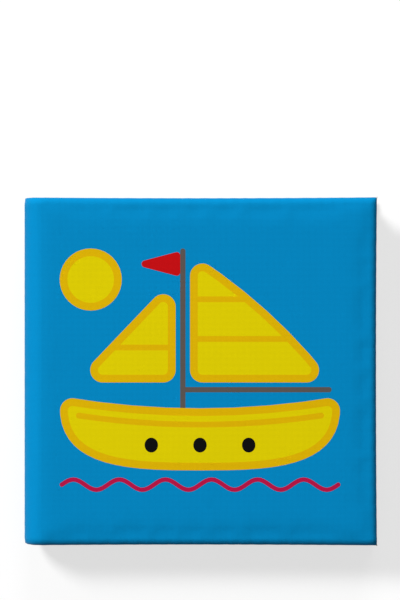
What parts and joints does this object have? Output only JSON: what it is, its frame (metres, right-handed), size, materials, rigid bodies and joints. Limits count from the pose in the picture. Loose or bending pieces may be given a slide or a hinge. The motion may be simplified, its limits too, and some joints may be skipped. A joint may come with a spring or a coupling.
{
  "type": "cloth book",
  "caption": "Square soft cloth book with padded, printed covers hinged along a stitched spine around padded cloth pages.",
  "frame": {"origin": "under the middle of the closed book, on the surface that its back cover lies on", "axes": "+X from the spine to the fore edge, +Y from the foot to the head of the cover, +Z from the back cover to the front cover"},
  "size_m": [0.124, 0.122, 0.0181],
  "materials": {
    "cover_cloth": "fine plain-weave polyester cloth, dyed blue",
    "lining_cloth": "fine plain-weave cloth, off-white",
    "page_cloth": "fine plain-weave cloth, off-white, padded",
    "wadding": "lofted polyester wadding",
    "crinkle_film": "thin clear crackling film",
    "thread": "spun polyester sewing thread",
    "print_yellow": "matt textile ink on cloth",
    "print_ochre": "matt textile ink on cloth",
    "print_grey": "matt textile ink on cloth",
    "print_black": "matt textile ink on cloth",
    "print_red": "matt textile ink on cloth",
    "print_magenta": "matt textile ink on cloth"
  },
  "bodies": {
    "back_cover": {"back_panel": "cover_cloth", "back_lining": "lining_cloth", "back_wadding": "wadding", "back_crinkle_film": "crinkle_film", "back_seam_thread": "thread"},
    "pages": {"pages": "page_cloth", "spine_stitching": "thread"},
    "front_cover": {"front_panel": "cover_cloth", "front_lining": "lining_cloth", "front_wadding": "wadding", "front_crinkle_film": "crinkle_film", "front_seam_thread": "thread", "print_yellow": "print_yellow", "print_outline": "print_ochre", "print_rigging": "print_grey", "print_portholes": "print_black", "print_pennant": "print_red", "print_waves": "print_magenta"}
  },
  "joints": [
    {"name": "back_cover_hinge", "type": "hinge", "parent": "back_cover", "child": "pages", "pos_m": [-0.06215, 0, 0.009], "axis": [0, -1, 0], "range_deg": [0, 180]},
    {"name": "front_cover_hinge", "type": "hinge", "parent": "pages", "child": "front_cover", "pos_m": [-0.06215, 0, 0.009], "axis": [0, -1, 0], "range_deg": [0, 180]}
  ]
}
